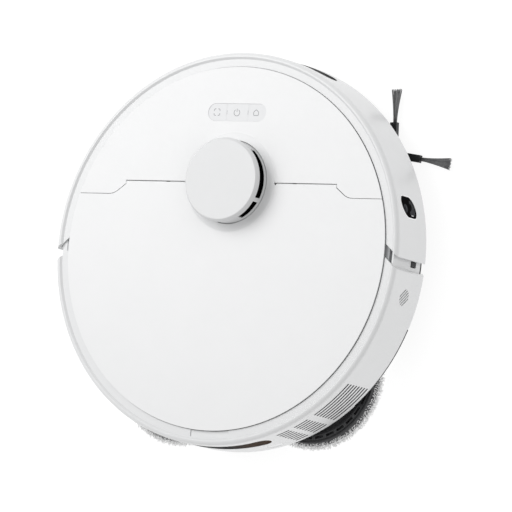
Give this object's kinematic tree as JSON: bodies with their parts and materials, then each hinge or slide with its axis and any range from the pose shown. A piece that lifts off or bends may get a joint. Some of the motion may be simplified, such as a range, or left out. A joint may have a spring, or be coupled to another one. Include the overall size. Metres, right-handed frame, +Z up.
{
  "type": "robot vacuum",
  "caption": "Round robot vacuum and mop with a scanning turret, sprung bumper, hinged lid, side and main brushes, and lifting spinning mop pads.",
  "frame": {"origin": "centre of the round body, on the floor it stands on", "axes": "+Y forwards, +X to the robot's right, +Z up"},
  "size_m": [0.355, 0.35, 0.0973],
  "materials": {
    "shell_white": "satin white moulded ABS",
    "panel_white": "smooth satin white top skin",
    "key_grey": "pale grey soft-touch keys",
    "chassis_dark": "fine-textured dark grey chassis plastic",
    "frame_grey": "light grey inner frame",
    "black_window": "glossy black infrared-pass plastic",
    "brown_window": "glossy dark brown infrared-pass plastic",
    "dark_part": "dark grey moulded part",
    "bin_grey": "smoky grey dust bin",
    "bin_cover_grey": "grey bin cover",
    "filter_paper": "pleated filter paper",
    "motor_can": "zinc-plated motor cans",
    "steel": "steel pins, springs and screws",
    "circuit_green": "circuit board",
    "battery_blue": "shrink-wrapped battery pack",
    "brush_vane": "rubber vanes",
    "bristle": "nylon bristle tufts",
    "tank_grey": "translucent grey water tank",
    "contact_metal": "plated charging contacts",
    "mop_cloth": "looped grey microfibre",
    "tyre_rubber": "grooved rubber tyre",
    "belt_rubber": "drive belt"
  },
  "bodies": {
    "chassis": {"base_plate": "chassis_dark", "mid_frame": "frame_grey", "rear_shell": "shell_white", "front_panel": "panel_white", "turret_collar": "shell_white", "lidar_base": "dark_part", "lidar_motor": "motor_can", "lidar_belt": "belt_rubber", "key_board": "circuit_green", "dust_bin": "bin_grey", "bin_cover": "bin_cover_grey", "filter": "filter_paper", "fan_motor": "dark_part", "main_board": "circuit_green", "battery": "battery_blue", "battery_cover": "chassis_dark", "brush_housing": "dark_part", "brush_guard": "dark_part", "brush_motor": "motor_can", "side_brush_motor": "motor_can", "bumper_switches": "dark_part", "rear_window": "brown_window", "charging_contacts": "contact_metal", "speaker": "dark_part", "cliff_sensors": "black_window", "water_tank": "tank_grey", "water_pump": "dark_part", "mop_lift_motor": "motor_can", "wheel_housing_left": "dark_part", "wheel_housing_right": "dark_part", "suspension_springs": "steel", "screws": "steel"},
    "lid": {"lid": "panel_white", "hinge_pins": "steel"},
    "lidar": {"lidar_head": "black_window"},
    "turret": {"turret_cover": "shell_white"},
    "power_key": {"power_key": "key_grey"},
    "spot_key": {"spot_key": "key_grey"},
    "home_key": {"home_key": "key_grey"},
    "main_brush": {"brush_core": "dark_part", "brush_vanes": "brush_vane"},
    "side_brush": {"side_brush_hub": "dark_part", "side_brush_tufts": "bristle"},
    "bumper": {"bumper": "shell_white", "bumper_windows": "black_window", "bumper_springs": "steel"},
    "mop_lift_left": {"mop_motor_left": "dark_part"},
    "mop_lift_right": {"mop_motor_right": "dark_part"},
    "mop_left": {"mop_holder_left": "dark_part", "mop_pad_left": "mop_cloth"},
    "mop_right": {"mop_holder_right": "dark_part", "mop_pad_right": "mop_cloth"},
    "drive_left": {"drive_arm_left": "dark_part"},
    "drive_right": {"drive_arm_right": "dark_part"},
    "drive_wheel_left": {"wheel_left": "dark_part", "tyre_left": "tyre_rubber"},
    "drive_wheel_right": {"wheel_right": "dark_part", "tyre_right": "tyre_rubber"},
    "caster": {"caster_fork": "dark_part"},
    "caster_roller": {"caster_wheel": "tyre_rubber"}
  },
  "joints": [
    {"name": "lid_hinge", "type": "hinge", "parent": "chassis", "child": "lid", "pos_m": [0, 0.0572, 0.0774], "axis": [-1, 0, 0], "range_deg": [0, 70]},
    {"name": "bumper_press", "type": "slide", "parent": "chassis", "child": "bumper", "axis": [0, -1, 0], "range_m": [0, 0.003], "stiffness_N_per_m": 900, "springref_m": -0.002, "deforming": ["bumper_springs"]},
    {"name": "turret_press", "type": "slide", "parent": "chassis", "child": "turret", "axis": [0, 0, -1], "range_m": [0, 0.0012], "stiffness_N_per_m": 1200, "springref_m": -0.002},
    {"name": "power_key_press", "type": "slide", "parent": "chassis", "child": "power_key", "axis": [0, 0, -1], "range_m": [0, 0.0005], "stiffness_N_per_m": 800, "springref_m": -0.001},
    {"name": "spot_key_press", "type": "slide", "parent": "chassis", "child": "spot_key", "axis": [0, 0, -1], "range_m": [0, 0.0005], "stiffness_N_per_m": 800, "springref_m": -0.001},
    {"name": "home_key_press", "type": "slide", "parent": "chassis", "child": "home_key", "axis": [0, 0, -1], "range_m": [0, 0.0005], "stiffness_N_per_m": 800, "springref_m": -0.001},
    {"name": "lidar_spin", "type": "hinge", "parent": "chassis", "child": "lidar", "pos_m": [0, 0.059, 0.08], "axis": [0, 0, 1], "continuous": true},
    {"name": "main_brush_spin", "type": "hinge", "parent": "chassis", "child": "main_brush", "pos_m": [0, 0.013, 0.021], "axis": [1, 0, 0], "continuous": true},
    {"name": "side_brush_spin", "type": "hinge", "parent": "chassis", "child": "side_brush", "pos_m": [0.1208, 0.0962, 0.02], "axis": [0, 0, 1], "continuous": true},
    {"name": "mop_lift_left", "type": "slide", "parent": "chassis", "child": "mop_lift_left", "axis": [0, 0, 1], "range_m": [-0.0105, 0]},
    {"name": "mop_lift_right", "type": "slide", "parent": "chassis", "child": "mop_lift_right", "axis": [0, 0, 1], "range_m": [-0.0105, 0]},
    {"name": "mop_spin_left", "type": "hinge", "parent": "mop_lift_left", "child": "mop_left", "pos_m": [-0.068, -0.1024, 0.03], "axis": [0, 0, 1], "continuous": true},
    {"name": "mop_spin_right", "type": "hinge", "parent": "mop_lift_right", "child": "mop_right", "pos_m": [0.068, -0.1024, 0.03], "axis": [0, 0, 1], "continuous": true},
    {"name": "drive_left_swing", "type": "hinge", "parent": "chassis", "child": "drive_left", "pos_m": [-0.1, 0.05, 0.03], "axis": [1, 0, 0], "range_deg": [0, 14], "stiffness_Nm_per_rad": 0.4, "springref_deg": 34.38},
    {"name": "drive_right_swing", "type": "hinge", "parent": "chassis", "child": "drive_right", "pos_m": [0.1, 0.05, 0.03], "axis": [1, 0, 0], "range_deg": [0, 14], "stiffness_Nm_per_rad": 0.4, "springref_deg": 34.38},
    {"name": "drive_left_spin", "type": "hinge", "parent": "drive_left", "child": "drive_wheel_left", "pos_m": [-0.12, 0.001, 0.035], "axis": [1, 0, 0], "continuous": true},
    {"name": "drive_right_spin", "type": "hinge", "parent": "drive_right", "child": "drive_wheel_right", "pos_m": [0.12, 0.001, 0.035], "axis": [1, 0, 0], "continuous": true},
    {"name": "caster_swivel", "type": "hinge", "parent": "chassis", "child": "caster", "pos_m": [0, 0.128, 0.04], "axis": [0, 0, 1], "continuous": true},
    {"name": "caster_spin", "type": "hinge", "parent": "caster", "child": "caster_roller", "pos_m": [0, 0.121, 0.014], "axis": [1, 0, 0], "continuous": true}
  ],
  "couplings": [
    {"joint": "mop_lift_right", "follows": "mop_lift_left", "ratio": 1},
    {"joint": "mop_spin_right", "follows": "mop_spin_left", "ratio": -1}
  ]
}
